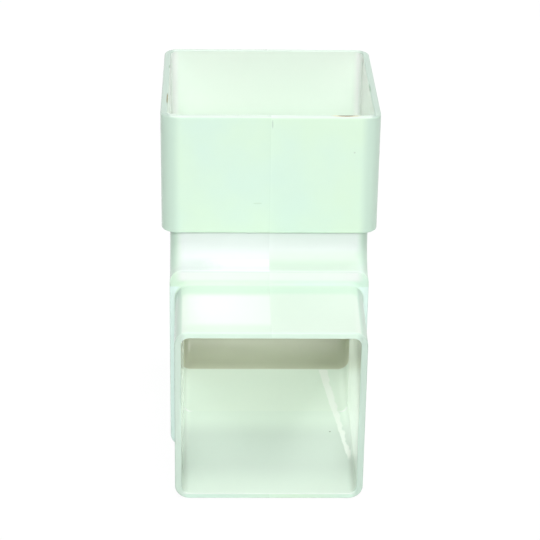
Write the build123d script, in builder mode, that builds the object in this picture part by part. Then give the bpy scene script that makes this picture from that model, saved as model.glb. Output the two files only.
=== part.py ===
from build123d import *
from math import cos, pi, radians, sin, tan
import os

# Bend for a square downpipe, one injection moulding.
#
# The pipe from above drops into the socket and stands on the ledge at its foot. The water turns
# inside the body and leaves through the spigot, which slips inside the next pipe.
#
# Frame, in millimetres: the flat sole of the body lies on z = 0. The outlet runs along -Y, level.
# The inlet rises along +Z and leans back by what the bend opens past a right angle. The origin is
# on the sole, straight below the point where the two axes cross. X = 0 is the parting plane.

# The square pipe that the bend joins; the body is as wide and deep as the pipe
pipe_width = 65.0
pipe_wall = 2.0
bend_angle = 92.5  # between the inlet axis, upwards, and the outlet axis, outwards

# Body, the square tube that turns the corner
body_wall = 2.1
body_corner = 4.7  # rounding of the long edges outside
body_bore_corner = 4.0  # the same inside
heel_radius = 16.0  # convex corner below the inlet
throat_radius = 6.0  # concave corner over the outlet leg
neck_height = 4.56  # straight front of the neck, from the throat up to the socket
leg_land = 2.98  # flat top of the leg, from the throat forwards to the shoulder
shoulder_height = 5.07  # from the spigot's top up to the top of the leg

# Socket, which takes the end of the pipe from above
socket_clearance = 1.0  # across the pipe, at the foot of the socket
socket_height = 40.1  # outside
socket_wall = 2.2
socket_corner = 5.2  # rounding of the upright edges outside
socket_draft = 0.3  # degrees a side, opening upwards
seat_thickness = 2.2  # the ledge that the pipe stands on

# Spigot, which slips inside the next pipe
spigot_clearance = 0.2  # across the pipe's bore, at the mouth
spigot_length = 33.3
spigot_draft = 0.2  # degrees a side, widening towards the shoulder
spigot_wall = 2.1
spigot_corner = 4.6
sole_step = 0.3  # from the sole up to the underside of the spigot
root_radius = 1.3  # flare of the spigot's root on top and at the sides
root_rings = 6  # sections that the flare is drawn through

# The two cores of the mould met inside the leg and left a step round the bore
core_setback = 10.4  # from the front wall of the inlet's bore back to where they met

# Broken edges
rim_round = 0.7
rim_inner_round = 0.3
socket_foot_round = 0.6
shoulder_round = 0.5
mouth_round = 0.5
mouth_inner_round = 0.25

# How far one form runs into the next before the two are joined or cut
overlap = 1.0
least_corner = 0.5  # rounding of a bore's corner where the wall is thicker than the outer one

# Widths and heights that follow
lean = radians(bend_angle - 90)
body_half = pipe_width / 2
bore_half = body_half - body_wall
socket_bore = pipe_width + socket_clearance
socket_foot_width = socket_bore + 2 * socket_wall
spigot_width = pipe_width - 2 * pipe_wall - spigot_clearance
spigot_root_width = spigot_width + 2 * spigot_length * tan(radians(spigot_draft))
outlet_bore = spigot_width - 2 * spigot_wall
outlet_corner = max(spigot_corner - spigot_wall, least_corner)
flare = min(root_radius, body_half - spigot_root_width / 2 - shoulder_round)
axis_height = sole_step + spigot_root_width / 2
leg_height = sole_step + spigot_root_width + shoulder_height

# Stations along the two axes that follow, from the point where they cross
throat_reach = throat_radius * tan((radians(90) - lean) / 2)  # from its corner to where it ends
throat_along = (leg_height - axis_height - body_half * sin(lean)) / cos(lean)
throat_ahead = body_half / cos(lean) - (leg_height - axis_height) * tan(lean)
socket_base = throat_along + throat_reach + neck_height
seat = socket_base + seat_thickness
inlet_reach = socket_base + socket_height
shoulder = throat_ahead + throat_reach + leg_land
outlet_reach = shoulder + spigot_length
core_meeting = bore_half - core_setback

inlet = Plane(origin=(0, 0, axis_height), x_dir=(1, 0, 0), z_dir=(0, sin(lean), cos(lean)))
outlet = Plane(origin=(0, 0, axis_height), x_dir=(1, 0, 0), z_dir=(0, -1, 0))
inlet_axis = Axis(inlet.origin, inlet.z_dir)
outlet_axis = Axis(outlet.origin, outlet.z_dir)


def on_wall(offset, height):
    """Point of the side view on a wall beside the inlet axis, at a height above the sole."""
    return (offset / cos(lean) + (height - axis_height) * tan(lean), height)


def across_inlet(offset, along):
    """Point of the side view beside the inlet axis, at a distance along it from the crossing."""
    return (
        offset * cos(lean) + along * sin(lean),
        axis_height - offset * sin(lean) + along * cos(lean),
    )


def spigot_size(distance):
    """Width of the spigot's drafted outside at a distance in front of the shoulder."""
    return spigot_width + 2 * (spigot_length - distance) * tan(radians(spigot_draft))


def nearest_corner(sketch, point):
    """The corner of a side view that lies nearest to a point given in that view."""
    return sketch.vertices().sort_by_distance((point[0], point[1], 0))[0]


# The mould's cores, which leave the waterway
with BuildPart() as waterway:
    # Inlet core, from inside the socket down to the floor; in front it stops on the outlet core
    step_height = axis_height + outlet_bore / 2 - outlet_corner
    heel_point = on_wall(bore_half, body_wall)
    with BuildSketch(Plane.YZ) as inlet_side:
        with BuildLine():
            Polyline(
                across_inlet(-bore_half, seat + overlap),
                on_wall(-bore_half, step_height),
                (-core_meeting, step_height),
                (-core_meeting, body_wall),
                heel_point,
                across_inlet(bore_half, seat + overlap),
                close=True,
            )
        make_face()
        fillet(nearest_corner(inlet_side, heel_point), radius=heel_radius - body_wall)
    extrude(amount=bore_half, both=True)
    flanks = waterway.faces().filter_by(Axis.X)
    upper_end = waterway.faces().sort_by(inlet_axis)[-1:]
    fillet(flanks.edges() - upper_end.edges(), radius=body_bore_corner)

    # Outlet core, straight out through the spigot
    with BuildSketch(outlet.offset(core_meeting - body_bore_corner)):
        RectangleRounded(outlet_bore, outlet_bore, outlet_corner)
    extrude(amount=outlet_reach - core_meeting + body_bore_corner + overlap)

    # The socket's bore, from the ledge up
    with BuildSketch(inlet.offset(seat)):
        RectangleRounded(socket_bore, socket_bore, max(socket_corner - socket_wall, least_corner))
    extrude(amount=inlet_reach - seat + overlap, taper=-socket_draft)

with BuildPart() as bend_body:
    # The body's side view, with its throat and heel, drawn out to both flanks
    throat_point = on_wall(-body_half, leg_height)
    heel_point = on_wall(body_half, 0)
    with BuildSketch(Plane.YZ) as body_side:
        with BuildLine():
            Polyline(
                across_inlet(-body_half, socket_base + overlap),
                throat_point,
                (-shoulder, leg_height),
                (-shoulder, 0),
                heel_point,
                across_inlet(body_half, socket_base + overlap),
                close=True,
            )
        make_face()
        fillet(nearest_corner(body_side, throat_point), radius=throat_radius)
        fillet(nearest_corner(body_side, heel_point), radius=heel_radius)
    extrude(amount=body_half, both=True)
    flanks = bend_body.faces().filter_by(Axis.X)
    lower_end = bend_body.faces().sort_by(outlet_axis)[-1:]
    upper_end = bend_body.faces().sort_by(inlet_axis)[-1:]
    fillet(flanks.edges() - lower_end.edges() - upper_end.edges(), radius=body_corner)
    fillet(bend_body.faces().sort_by(outlet_axis)[-1].edges(), radius=shoulder_round)

    # The socket, wider than the body and opening upwards
    with BuildSketch(inlet.offset(socket_base)):
        RectangleRounded(socket_foot_width, socket_foot_width, socket_corner)
    extrude(amount=socket_height, taper=-socket_draft)
    underside = bend_body.faces().filter_by_position(
        inlet_axis, socket_base - socket_foot_round / 2, socket_base + socket_foot_round / 2
    )
    fillet(underside[0].outer_wire().edges(), radius=socket_foot_round)

    # The spigot's root, sunk into the shoulder, flares onto it; only its underside runs on level
    foot_width = spigot_size(0) + 2 * flare
    with BuildSketch(outlet.offset(shoulder)):
        with Locations((0, flare / 2)):
            RectangleRounded(foot_width, foot_width - flare, spigot_corner + flare)
    extrude(amount=-overlap)
    for ring in range(root_rings + 1):
        turn = pi / 2 * ring / root_rings
        outwards = flare * (1 - sin(turn))
        distance = flare * (1 - cos(turn))
        width = spigot_size(distance) + 2 * outwards
        with BuildSketch(outlet.offset(shoulder + distance)):
            with Locations((0, outwards / 2)):
                RectangleRounded(width, width - outwards, spigot_corner + outwards)
    loft()

    # The spigot from its root to the mouth
    with BuildSketch(outlet.offset(shoulder + flare)):
        RectangleRounded(spigot_size(flare), spigot_size(flare), spigot_corner)
    with BuildSketch(outlet.offset(outlet_reach)):
        RectangleRounded(spigot_width, spigot_width, spigot_corner)
    loft()

    # Hollowed by the cores, then the broken edges of the two rims
    add(waterway.part, mode=Mode.SUBTRACT)
    rim = bend_body.faces().sort_by(inlet_axis)[-1]
    fillet(rim.outer_wire().edges(), radius=rim_round)
    rim = bend_body.faces().sort_by(inlet_axis)[-1]
    fillet(rim.inner_wires()[0].edges(), radius=rim_inner_round)
    mouth = bend_body.faces().sort_by(outlet_axis)[-1]
    fillet(mouth.outer_wire().edges(), radius=mouth_round)
    mouth = bend_body.faces().sort_by(outlet_axis)[-1]
    fillet(mouth.inner_wires()[0].edges(), radius=mouth_inner_round)

bend_body.part.label = "bend_body"

os.makedirs("parts", exist_ok=True)
export_step(bend_body.part, "parts/bend_body.step")
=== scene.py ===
# %% [markdown]
# # A moulded bend for a square downpipe
# The part is one piece of glossy, pale mint plastic: a square socket on top, a neck, the turn of
# the pipe and a spigot that points at the camera. Its shape is finished already, so this lesson
# is about its surface and its light. The frame comes first, because every position below is read
# in its metres, with the sole of the bend on z = 0 and the outlet along -Y.

# %% Load the fixed frame
import bpy
from math import cos, pi, radians, sin
from mathutils import Matrix, Vector

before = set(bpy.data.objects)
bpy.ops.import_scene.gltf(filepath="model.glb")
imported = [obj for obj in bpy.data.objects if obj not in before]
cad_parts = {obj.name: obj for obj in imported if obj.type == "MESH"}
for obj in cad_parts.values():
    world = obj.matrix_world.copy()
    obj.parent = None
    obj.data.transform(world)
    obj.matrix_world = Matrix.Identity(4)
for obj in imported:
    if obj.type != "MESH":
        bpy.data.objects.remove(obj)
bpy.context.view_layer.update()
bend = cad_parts["bend_body"]

# %% [markdown]
# ## The camera
# The photograph was taken from a little above and almost straight in front, with a long lens, so
# the socket narrows only slightly towards its foot. A camera is aimed most plainly by a place, a
# heading, a dip below level and a roll, in that order, and those four are what a photographer sets.

# %% Camera
MM = 0.001
EYE = Vector((-17.51, -656.13, 370.54)) * MM
HEADING = radians(1.641)
DIP = radians(26.230)
ROLL = radians(0.914)

lens = bpy.data.cameras.new("long_lens")
lens.lens = 141.05
lens.sensor_width = 36.0
camera = bpy.data.objects.new("camera", lens)
heading = Matrix.Rotation(-HEADING, 4, "Z")
dip = Matrix.Rotation(pi / 2 - DIP, 4, "X")
roll = Matrix.Rotation(ROLL, 4, "Z")
camera.matrix_world = Matrix.Translation(EYE) @ heading @ dip @ roll
bpy.context.scene.collection.objects.link(camera)
bpy.context.scene.camera = camera
bpy.context.scene.view_settings.view_transform = "Standard"
print("the camera stands", round(EYE.length, 3), "m from the sole's origin")

# %% [markdown]
# ## A shorthand for surfaces
# A finish is a tree of nodes, and sums of nodes are tedious to wire by hand. A small class holds
# one socket and lets plain arithmetic add the Math nodes, so a mask can be written as `1 - rim`.
# Everything that isn't arithmetic comes from one method, which sets a node's own settings first
# and then fills or links its sockets.

# %% Sockets that take part in arithmetic
class Wire:
    """One output of a node; numbers and other wires can be added to it or multiplied by it."""

    def __init__(self, socket):
        self.socket = socket

    def math(self, operation, *others):
        node = self.socket.id_data.nodes.new("ShaderNodeMath")
        node.operation = operation
        for slot, value in zip(node.inputs, others):
            feed(slot, value)
        return Wire(node.outputs[0])

    def __add__(self, other):
        return self.math("ADD", self, other)

    def __sub__(self, other):
        return self.math("SUBTRACT", self, other)

    def __rsub__(self, other):
        return self.math("SUBTRACT", other, self)

    def __mul__(self, other):
        return self.math("MULTIPLY", self, other)

    def __truediv__(self, other):
        return self.math("DIVIDE", self, other)

    def __pow__(self, other):
        return self.math("POWER", self, other)

    __radd__ = __add__
    __rmul__ = __mul__

    def size(self):
        return self.math("ABSOLUTE", self)

    def most(self, other):
        return self.math("MAXIMUM", self, other)


def feed(slot, value):
    """Links a wire to a socket, or writes a plain value into it."""
    if isinstance(value, Wire):
        slot.id_data.links.new(value.socket, slot)
    else:
        slot.default_value = value


class Finish:
    """The node tree of a material or of the world."""

    def __init__(self, owner):
        owner.use_nodes = True
        self.tree = owner.node_tree
        self.tree.nodes.clear()

    def node(self, kind, settings=None, output=0, **sockets):
        node = self.tree.nodes.new("ShaderNode" + kind)
        for name, value in (settings or {}).items():
            setattr(node, name, value)
        for name, value in sockets.items():
            key = int(name[1:]) if name[0] == "_" else name.replace("_", " ")
            feed(node.inputs[key], value)
        return Wire(node.outputs[output]) if node.outputs else None

    def split(self, vector):
        node = self.node("SeparateXYZ", Vector=vector).socket.node
        return [Wire(out) for out in node.outputs]

    def ramp(self, value, low, high):
        """0 below low, 1 above high, a smooth step between; it falls where low is the larger."""
        kind = {"interpolation_type": "SMOOTHSTEP"}
        return self.node("MapRange", kind, Value=value, From_Min=low, From_Max=high)

    def blend(self, mask, below, above):
        """The first colour where the mask is 0, the second where it is 1."""
        return self.node("Mix", {"data_type": "RGBA"}, 2, _0=mask, _6=below, _7=above)

    def seen(self):
        """1 for what the camera sees, straight, mirrored or through something clear, 0 for light."""
        rays = self.node("LightPath").socket.node.outputs
        straight_or_mirrored = Wire(rays["Is Camera Ray"]).most(Wire(rays["Is Glossy Ray"]))
        return straight_or_mirrored.most(Wire(rays["Is Transmission Ray"]))

    def noise(self, vector, scale, detail=2.0, roughness=0.5):
        """Clouds between 0 and 1, about as many to a metre as the scale says."""
        return self.node("TexNoise", Vector=vector, Scale=scale, Detail=detail, Roughness=roughness)


def colour(red, green, blue):
    """A screen colour, 0 to 255, as the linear numbers that shaders work in."""
    shares = [level / 255 for level in (red, green, blue)]
    linear = [s / 12.92 if s < 0.04045 else ((s + 0.055) / 1.055) ** 2.4 for s in shares]
    return (*linear, 1.0)


print("shorthand ready")

# %% [markdown]
# ## Where the surfaces lie
# The moulding has no seams to cut it into patches, so a surface is told by its position. The
# object's own coordinates, in millimetres, keep each tint and mark on its place in any view. The
# inlet leans back by 2.5 degrees, so two more coordinates follow it: the distance behind its
# axis, and the way up along it. A point is inside when it lies nearer to the axis than the outside
# comes at its rounded corners, with the heel's rounding taken off, since the wall bends inwards
# there.

# %% Positions and the inner surfaces
plastic = bpy.data.materials.new("mint_plastic")
skin = Finish(plastic)
place = skin.node("TexCoord", output=3)
across, back, height = [axis * 1000 for axis in skin.split(place)]

AXIS_HEIGHT = 30.82  # of the outlet over the sole
LEAN = radians(2.5)
HEEL_BACK, HEEL_UP = 15.87, 16.0  # centre of the heel's rounding
SHOULDER = -39.7  # where the spigot starts
CORES_MET = -20.0
MOUTH = -73.0
SOCKET_FOOT = 44.3  # along the inlet
RIM = 84.4
SPIGOT_UP = 61.3  # tops of the spigot and of the leg, over the sole
LEG_UP = 66.4
BODY_HALF = 32.5  # half widths of the body, the spigot and the socket's bore
SPIGOT_HALF = 30.4
SOCKET_BORE_HALF = 33.2

# Distances over which the outside gives way to the inside: from an axis, the heel's centre, the sole
SPIGOT_WALL = (28.9, 28.5)
BODY_WALL = (31.0, 30.6)
SOCKET_WALL = (33.6, 33.35)
HEEL_WALL = (15.1, 14.8)
SOLE_WALL = (1.1, 1.7)

from_middle = across.size()
beside = back * cos(LEAN) - (height - AXIS_HEIGHT) * sin(LEAN)
along = back * sin(LEAN) + (height - AXIS_HEIGHT) * cos(LEAN)
from_inlet = from_middle.most(beside.size())
from_outlet = from_middle.most((height - AXIS_HEIGHT).size())
from_heel = ((back - HEEL_BACK).most(0.0) ** 2.0 + (HEEL_UP - height).most(0.0) ** 2.0) ** 0.5

in_bore = skin.ramp(from_outlet, *SPIGOT_WALL) * skin.ramp(back, 0.0, -1.0)
above_floor = skin.ramp(height, *SOLE_WALL) * skin.ramp(from_heel, *HEEL_WALL)
in_turn = skin.ramp(from_inlet, *BODY_WALL) * above_floor
above_seat = skin.ramp(along, SOCKET_FOOT + 1.7, SOCKET_FOOT + 2.1)
in_socket = skin.ramp(from_inlet, *SOCKET_WALL) * above_seat
inside = in_bore.most(in_turn).most(in_socket)
print("the inlet leans by", round(LEAN, 4), "rad over an outlet axis", AXIS_HEIGHT, "mm up")

# %% [markdown]
# ## The tints of the outside, with painted light and shade
# The plastic is dyed through: a pale mint with the faint cloudiness that pigment leaves. Over it,
# each face gets a tint of its own, and these are painted light and shade: painted shade, deeper on
# the flanks and in the crease at the spigot's root, and painted light, nearly white on the front of
# the neck, on the left half of the throat, the shoulder and the top of the spigot. A mask and a tint
# for each such face, and later rows lie over earlier ones.

# %% Outer tints, with painted light and shade
cloud = skin.noise(place, 28.0, 3.0)
patches = skin.ramp(cloud, 0.35, 0.65)
mint = skin.blend(patches, colour(214, 240, 224), colour(218, 243, 219))

on_leg = skin.ramp(back, SHOULDER + 0.4, SHOULDER + 1.4)
on_spigot = skin.ramp(back, SHOULDER - 0.5, SHOULDER - 0.9)
off_flank = skin.ramp(from_middle, BODY_HALF - 1.0, BODY_HALF - 4.5)
right_half = skin.ramp(across, -0.2, 0.2)

neck_front = skin.ramp(height, SPIGOT_UP + 0.3, SPIGOT_UP + 2.3) * off_flank
neck_front = neck_front * skin.ramp(beside, 1.5 - BODY_HALF, 0.3 - BODY_HALF)
neck_front = neck_front * skin.ramp(along, SOCKET_FOOT + 0.1, SOCKET_FOOT - 0.1)
throat = skin.ramp(height, LEG_UP - 0.8, LEG_UP + 0.2) * skin.ramp(height, LEG_UP + 4.1, LEG_UP + 1.6)
spigot_top = skin.ramp(height, SPIGOT_UP - 0.9, SPIGOT_UP - 0.5)
spigot_top = spigot_top * skin.ramp(back, SHOULDER - 1.8, SHOULDER - 4.3)
root = skin.ramp(height, SPIGOT_UP - 1.1, SPIGOT_UP - 0.7)
root = root * skin.ramp(height, SPIGOT_UP + 1.3, SPIGOT_UP + 0.5)
root = root * skin.ramp(back, SHOULDER - 0.6, SHOULDER - 1.2)
root = root * skin.ramp(back, SHOULDER - 8.0, SHOULDER - 5.0)
shoulder_face = skin.ramp(back, SHOULDER + 0.25, SHOULDER + 0.1)
shoulder_face = shoulder_face * skin.ramp(back, SHOULDER - 0.5, SHOULDER - 0.2)
shoulder_face = shoulder_face * skin.ramp(height, SPIGOT_UP - 0.5, SPIGOT_UP - 0.9)

collar = skin.ramp(height, LEG_UP - 0.4, LEG_UP - 1.0)  # the shoulder, below the leg's flat top
# painted light: the neck's front, the throat's left half and the shoulder below the leg's top, nearly
# white
neck_painted_light = skin.blend(throat * right_half, colour(232, 240, 237), colour(220, 237, 222))
neck_painted_light = skin.blend(collar, neck_painted_light, colour(243, 246, 244))
outer_painted_light_and_shade = [
    # painted shade: the leg's flanks, darker towards their rounded corners
    (on_leg * skin.ramp(from_middle, BODY_HALF - 4.0, BODY_HALF - 0.7), colour(201, 226, 209)),
    # painted shade: the spigot's flanks
    (on_spigot * skin.ramp(from_middle, SPIGOT_HALF - 3.4, SPIGOT_HALF - 1.0), colour(191, 215, 199)),
    # painted light: the neck, the throat and the shoulder
    (neck_front, neck_painted_light),
    # painted light: the top of the spigot, paler than the mint
    (spigot_top * off_flank, colour(226, 240, 227)),
    # painted shade: the crease at the spigot's root
    (root * off_flank, colour(213, 237, 218)),
    # painted light: the narrow shoulder face beside the spigot, pale and bluish
    (shoulder_face, colour(226, 248, 240)),
]
tint = mint
for mask, shade in outer_painted_light_and_shade:
    tint = skin.blend(mask, tint, shade)
print("outer tints:", 1 + len(outer_painted_light_and_shade))

# %% [markdown]
# ## The tints of the inside
# Inside, the plastic is painted at its palest, as painted light, and paler still on the walls of
# the bore and the sides of the socket; the low part of the socket is painted a little darker, as
# painted shade. The heel and the wall behind it are painted tan as painted shadow, from a straight
# edge across the floor up to the turn of the wall. The floor in front of the line where the mould's
# two cores met is painted a little greyer than behind it, as painted shade. The faces of the rim and
# of the mouth close the list, because they border on the inside; the top of the mouth is painted
# paler, as a painted highlight.

# %% Inner tints, with painted light and shade
near_floor = skin.ramp(height, 6.0, 4.0)
outlet_floor = inside * near_floor * skin.ramp(back, CORES_MET + 0.4, CORES_MET - 0.4)
floor_painted_shade = outlet_floor * skin.ramp(back, -24.0, -38.0) * skin.ramp(back, -72.0, -54.0)
bore_walls = skin.ramp(from_middle, SPIGOT_HALF - 3.9, SPIGOT_HALF - 2.6)
bore_walls = bore_walls * skin.ramp(height, 4.0, 8.0)
bore_walls = bore_walls * skin.ramp(along, SOCKET_FOOT - 0.3, SOCKET_FOOT - 4.3)
heel_painted_shade = skin.ramp(back, 10.3, 11.3) * skin.ramp(height, 58.0, 50.0)
over_seat = skin.ramp(along, SOCKET_FOOT + 1.2, SOCKET_FOOT + 2.2)
low_socket = over_seat * skin.ramp(along, 68.0, 50.0)
socket_sides = over_seat * skin.ramp(from_middle, SOCKET_BORE_HALF - 3.2, SOCKET_BORE_HALF - 1.0)
rim_face = skin.ramp(along, RIM - 0.3, RIM + 0.1)
rim_sides = rim_face * skin.ramp(from_middle, SOCKET_BORE_HALF - 1.7, SOCKET_BORE_HALF - 0.2)
mouth = skin.ramp(back, MOUTH + 0.8, MOUTH + 0.2)
mouth_top = mouth * skin.ramp(height, SPIGOT_UP - 3.3, SPIGOT_UP - 1.8)
mouth_sides = mouth * skin.ramp(from_middle, SPIGOT_HALF - 3.9, SPIGOT_HALF - 1.9)
# painted light: the bore and the turn, a shade less pale than the socket
bore_painted_light = skin.blend(patches, colour(234, 247, 235), colour(236, 248, 236))
lip_tint = skin.blend(skin.ramp(across, -5.0, 5.0), colour(205, 225, 211), colour(198, 220, 206))

inner_tints = [
    # painted light: the whole inside, paler than the outside
    (inside, skin.blend(patches, colour(237, 250, 238), colour(239, 250, 239))),
    (inside * skin.ramp(along, 66.0, 42.0), bore_painted_light),
    # painted shade: darker low in the socket
    (inside * low_socket, colour(224, 242, 226)),
    # painted light: the walls of the bore
    (inside * bore_walls, colour(247, 255, 248)),
    # painted shade: the floor of the outlet, greyest about halfway to the mouth
    (outlet_floor, colour(233, 246, 235)),
    (floor_painted_shade, colour(217, 228, 220)),
    # painted light: the socket's side walls, against the shade in its corners
    (inside * socket_sides, colour(252, 255, 252)),
    (rim_face, colour(224, 240, 228)),
    (rim_sides, colour(190, 211, 198)),
    # painted shadow: the heel and the wall behind it, tan, from a straight edge across the floor
    (inside * heel_painted_shade, colour(213, 216, 195)),
    # painted highlight: the top of the mouth
    (mouth_top, colour(222, 245, 228)),
    (mouth_sides, lip_tint),
]
for mask, shade in inner_tints:
    tint = skin.blend(mask, tint, shade)
print("inner tints:", len(inner_tints))

# %% [markdown]
# ## Polish, painted highlights and a painted streak of light
# The top of the spigot and the throat shine on the left, exactly up to the parting line: the left
# half is glossier, as if that half of the mould was polished better, and a paler tint, strongest in
# the throat, is a painted highlight that helps the lamps aimed at them below. On the floor of the
# bore one long, pale streak of light, askew and with a ragged edge, is painted into the colour.

# %% Painted highlights and the painted streak of light
TOP_HIGHLIGHT, THROAT_HIGHLIGHT = 0.4, 0.9  # shares of the paler tint
STREAK_ACROSS, STREAK_HALF = 22.1, 1.35  # where it crosses the middle of the bend, half its width
STREAK_SLANT, STREAK_TAPER = 0.102, 0.014  # for each millimetre along it

waver = skin.noise(place, 320.0, 2.0) - 0.5
left_half = skin.ramp(across, 0.2, -0.2)
top_highlight = skin.ramp(height, SPIGOT_UP - 0.7, SPIGOT_UP - 0.3)
top_highlight = top_highlight * skin.ramp(height, SPIGOT_UP + 1.7, SPIGOT_UP + 0.7)
top_highlight = top_highlight * skin.ramp(back, SHOULDER - 6.3, SHOULDER - 9.3)
top_highlight = top_highlight * skin.ramp(back, MOUTH + 3.4, MOUTH + 7.4)
top_highlight = top_highlight * skin.ramp(across + waver * 3.0, -31.0, -21.0)
throat_highlight = skin.ramp(height, LEG_UP - 0.4, LEG_UP + 0.2)
throat_highlight = throat_highlight * skin.ramp(height, LEG_UP + 1.3, LEG_UP + 0.7)
throat_highlight = throat_highlight * skin.ramp(beside, 0.5 - BODY_HALF, -0.5 - BODY_HALF)
throat_highlight = throat_highlight * skin.ramp(across + waver * 8.0, -23.0, -14.0)
# painted highlight: the left half of the spigot's top and of the throat, nearly white
painted_highlight = (top_highlight * TOP_HIGHLIGHT).most(throat_highlight * THROAT_HIGHLIGHT) * left_half
tint = skin.blend(painted_highlight, tint, colour(252, 254, 254))

# painted light: a pale streak of light across the floor of the bore
streak_middle = STREAK_ACROSS - back * STREAK_SLANT + waver * 1.6
streak_half = STREAK_HALF + back * STREAK_TAPER + waver * 0.8
painted_light_streak = skin.ramp((across - streak_middle).size() - streak_half, 0.25, -0.25)
painted_light_streak = painted_light_streak * skin.ramp(back, 10.8, 9.8) * skin.ramp(back, -54.0, -50.0)
painted_light_streak = painted_light_streak * skin.ramp(height, 4.0, 3.4) * inside
tint = skin.blend(painted_light_streak, tint, colour(250, 255, 249))
# two painted highlights and one painted streak of light
print("polished places: 2, rubbed streaks: 1")

# %% [markdown]
# ## Dirt and small marks
# The fitting has been handled. Brown and green dirt sits on the inner edge of the rim, with one
# rusty stain and its pale halo in front; the outside has a tick below the rim, a smudge and a
# speck; the bore has a speck on its floor. Two painted highlights brighten the corners where the
# mould's cores met. Each is an oval on two or three coordinates, with its edge made ragged by the
# same noise.

# %% Marks
def blot(axes, middle, reach):
    """1 inside an oval with a ragged edge, on two or three coordinates in millimetres."""
    distance = waver * 0.5
    for axis, centre, radius in zip(axes, middle, reach):
        distance = distance + ((axis - centre) / radius) ** 2.0
    return skin.ramp(distance, 1.5, 0.5)


at_rim = (across, back, along)
on_front_rim = (across, beside, along)
on_floor = (across, back, height)
both_corners = (from_middle, back, height)
front = (across, along)
front_wall = skin.ramp(beside, -0.7 - SOCKET_BORE_HALF, -1.1 - SOCKET_BORE_HALF)
front_wall = front_wall * skin.ramp(along, SOCKET_FOOT - 0.3, SOCKET_FOOT + 0.2)
marks = [  # mask, tint, its share
    (blot(at_rim, (-33.4, -13.6, 84.2), (0.3, 5.4, 0.8)), colour(128, 112, 48), 0.8),
    (blot(at_rim, (-33.4, 19.0, 84.2), (0.3, 2.2, 0.6)), colour(120, 150, 120), 0.5),
    (blot(at_rim, (33.4, -2.2, 84.2), (0.3, 5.0, 0.6)), colour(100, 140, 105), 0.5),
    (blot(on_front_rim, (24.0, -33.5, 84.4), (4.6, 1.2, 0.9)), colour(226, 210, 160), 0.8),
    (blot(on_front_rim, (24.0, -33.4, 84.4), (2.8, 1.0, 0.9)), colour(100, 64, 14), 1.0),
    (front_wall * blot(front, (0.5, 82.2), (0.2, 1.4)), colour(176, 200, 184), 0.6),
    (front_wall * blot(front, (-4.0, 55.0), (1.4, 0.25)), colour(196, 224, 200), 0.6),
    (front_wall * blot(front, (26.9, 72.7), (0.3, 0.3)), colour(180, 200, 184), 0.5),
    (inside * blot(on_floor, (21.6, -34.0, 2.5), (0.35, 0.35, 0.5)), colour(120, 130, 110), 0.7),
    # painted highlight: both corners where the cores met, nearly white
    (inside * blot(both_corners, (27.4, CORES_MET, 3.0), (2.2, 0.8, 1.6)), colour(254, 255, 254), 0.9),
]
for mask, shade, share in marks:
    tint = skin.blend(mask * share, tint, shade)
print("marks:", len(marks))

# %% [markdown]
# ## Gloss and relief
# The polished mould makes the plastic glossy, more so on the left half and most of all inside,
# where nothing has touched it. Fine scuffs and the clouds of the pigment vary the gloss a little.
# The relief holds the slow waves of a moulding that shrank as it cooled, and the faint ridge of
# the parting line along the middle.

# %% Gloss, relief and the shader
ROUGH_RIGHT, ROUGH_LEFT, ROUGH_INSIDE = 0.26, 0.14, 0.1
scuff = skin.noise(place, 700.0, 4.0, 0.6)
outside = ROUGH_RIGHT + (ROUGH_LEFT - ROUGH_RIGHT) * left_half
roughness = outside + (ROUGH_INSIDE - outside) * inside + 0.04 * cloud + 0.05 * scuff

ripple = skin.noise(place, 60.0, 1.0)
RIDGE_SLOPE = 0.000004  # metres of height for each millimetre off the middle
WAVES = 0.00002  # metres between the deepest and the highest
relief = ripple * WAVES - from_middle * RIDGE_SLOPE
normal = skin.node("Bump", Strength=1.0, Distance=1.0, Height=relief)
shader = skin.node("BsdfPrincipled", Base_Color=tint, Roughness=roughness, IOR=1.5, Normal=normal)
skin.node("OutputMaterial", Surface=shader)
bend.data.materials.clear()
bend.data.materials.append(plastic)
print("plastic nodes:", len(skin.tree.nodes))

# %% [markdown]
# ## The floor
# The bend stands on a plain white floor. What the camera and the reflections see of it is white
# by itself, mixed with a matt surface that still takes the shadow, so no extra light is needed to
# clear the background.

# %% Floor
FLOOR_REACH = 6.0
PAPER_GREY = 0.8
WHITE_SHARE, WHITE_GLOW = 0.9, 1.04  # how much of the paper is white by itself, and how bright

signs = [(-1, -1), (1, -1), (1, 1), (-1, 1)]
corners = [(x * FLOOR_REACH, y * FLOOR_REACH, 0) for x, y in signs]
floor_mesh = bpy.data.meshes.new("floor")
floor_mesh.from_pydata(corners, [], [(0, 1, 2, 3)])
floor = bpy.data.objects.new("floor", floor_mesh)
bpy.context.scene.collection.objects.link(floor)

paper = bpy.data.materials.new("white_paper")
sheet = Finish(paper)
matt = sheet.node("BsdfDiffuse", Color=(PAPER_GREY, PAPER_GREY, PAPER_GREY, 1.0))
white = sheet.node("Emission", Color=(1.0, 1.0, 1.0, 1.0), Strength=WHITE_GLOW)
surface = sheet.node("MixShader", _0=sheet.seen() * WHITE_SHARE, _1=matt, _2=white)
sheet.node("OutputMaterial", Surface=surface)
floor_mesh.materials.append(paper)
print("floor", FLOOR_REACH * 2, "m wide")

# %% [markdown]
# ## The room
# The photograph was cut out on white, but the bend was lit in a room that is dim at both sides:
# its upright edges fall off to grey-green there. So the world is white only to the camera and in
# reflections, and for light it is a soft fill that fades towards the left and the right.

# %% World
DARKEST, BRIGHTEST = 0.02, 0.4  # the fill at the far sides and in the middle

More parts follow.
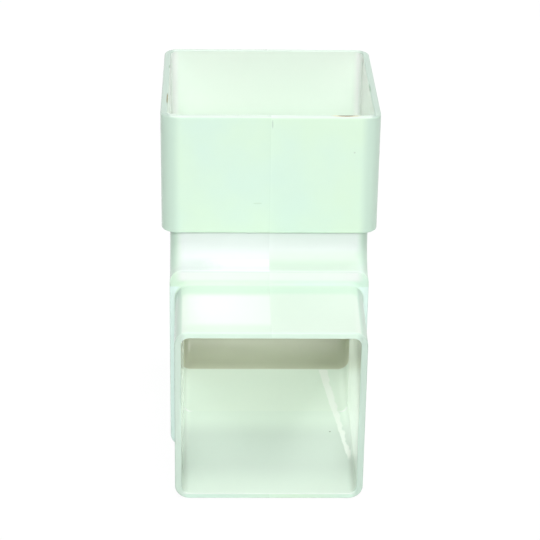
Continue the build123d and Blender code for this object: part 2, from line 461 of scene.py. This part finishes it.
world = bpy.data.worlds.new("studio")
bpy.context.scene.world = world
air = Finish(world)
sideways = air.split(air.node("TexCoord", output=0))[0].size()
dusk = DARKEST + (BRIGHTEST - DARKEST) * (1.0 - sideways) ** 3.0
fill = air.node("Background", Color=(0.97, 1.0, 1.0, 1.0), Strength=dusk)
clear = air.node("Background", Color=(1.0, 1.0, 1.0, 1.0), Strength=1.0)
air.node("OutputWorld", Surface=air.node("MixShader", _0=air.seen(), _1=fill, _2=clear))
print("world nodes:", len(air.tree.nodes))

# %% [markdown]
# ## The broad lamps
# A hard light from the front, a little steeper than the camera looks, draws the short shadow below
# the socket and lights the floor of the bore. Soft boxes above it fill the faces that look up, and
# two weak ones behind show the sides and the back in the turned views. Of these lamps, only the two
# boxes overhead leave a mirror image, because the photograph shows no other on the plastic.

# %% Sun and soft boxes
MIDDLE = (0.0, 0.0, 0.045)  # of the bend, more or less


def aimed(name, lamp, spot, target=MIDDLE):
    """Hangs a lamp at a spot, facing a target."""
    holder = bpy.data.objects.new(name, lamp)
    holder.location = spot
    holder.rotation_euler = (Vector(spot) - Vector(target)).to_track_quat("Z", "Y").to_euler()
    bpy.context.scene.collection.objects.link(holder)
    return holder


KEY_RISE = radians(34)
key = bpy.data.lights.new("key", "SUN")
key.energy = 1.06
key.angle = radians(1.3)
aimed("key", key, (0.0, -cos(KEY_RISE), sin(KEY_RISE) + MIDDLE[2])).visible_glossy = False

soft_boxes = [  # name, spot, width, length, watts, whether it shows in reflections
    ("high", (0.0, -1.15, 1.3), 0.7, 1.8, 10.8, False),
    ("steep", (0.0, -0.65, 1.5), 1.2, 0.8, 4.0, True),
    ("above", (0.5, 0.1, 1.5), 0.9, 0.8, 5.6, True),
    ("rear_left", (-1.1, 1.2, 0.9), 1.0, 1.0, 8.0, False),
    ("rear_right", (1.1, 1.2, 0.9), 1.0, 1.0, 8.0, False),
]
for name, spot, width, length, watts, mirrored in soft_boxes:
    box = bpy.data.lights.new(name, "AREA")
    box.shape = "RECTANGLE"
    box.size, box.size_y, box.energy = width, length, watts
    aimed(name, box, spot).visible_glossy = mirrored
print("soft boxes:", len(soft_boxes), "at", sum(row[4] for row in soft_boxes), "W")

# %% [markdown]
# ## The narrow lamps
# Four small beams finish the picture, as a photographer's snoots would: one across the foot of
# the neck, one on the polished half of the spigot's top, and two that reach through the mouth from
# either side onto the walls of the bore, the left one stronger.

# %% Beams
FOOT_OF_NECK = (-0.014, -0.038, 0.072)
FOOT_THROW = 0.8
foot_spot = Vector(FOOT_OF_NECK) + FOOT_THROW * Vector((0.0, -cos(KEY_RISE), sin(KEY_RISE)))
SPIGOT_TOP = (-0.016, -0.057, 0.0613)
BORE_MOUTH = (0.0, -0.073, 0.03)
beams = [  # name, spot, target, cone in degrees, blend, radius, watts, stretch, in reflections
    ("foot", foot_spot, FOOT_OF_NECK, 2.8, 1.0, 0.01, 0.5, (2.6, 1.0), False),
    ("glint", (-0.153, -0.433, 0.754), SPIGOT_TOP, 2.6, 0.7, 0.01, 3.9, (1.0, 0.8), False),
    ("into_bore_left", (-0.49, -0.83, 0.22), BORE_MOUTH, 2.8, 0.35, 0.005, 27.5, (1.0, 1.0), True),
    ("into_bore_right", (0.49, -0.83, 0.22), BORE_MOUTH, 2.8, 0.35, 0.005, 16.0, (1.0, 1.0), True),
]
for name, spot, target, cone, blend, radius, watts, stretch, mirrored in beams:
    snoot = bpy.data.lights.new(name, "SPOT")
    snoot.spot_size, snoot.spot_blend = radians(cone), blend
    snoot.shadow_soft_size, snoot.energy = radius, watts
    beam = aimed(name, snoot, spot, target)
    beam.scale = (*stretch, 1.0)
    beam.visible_glossy = mirrored
print("beams:", len(beams))
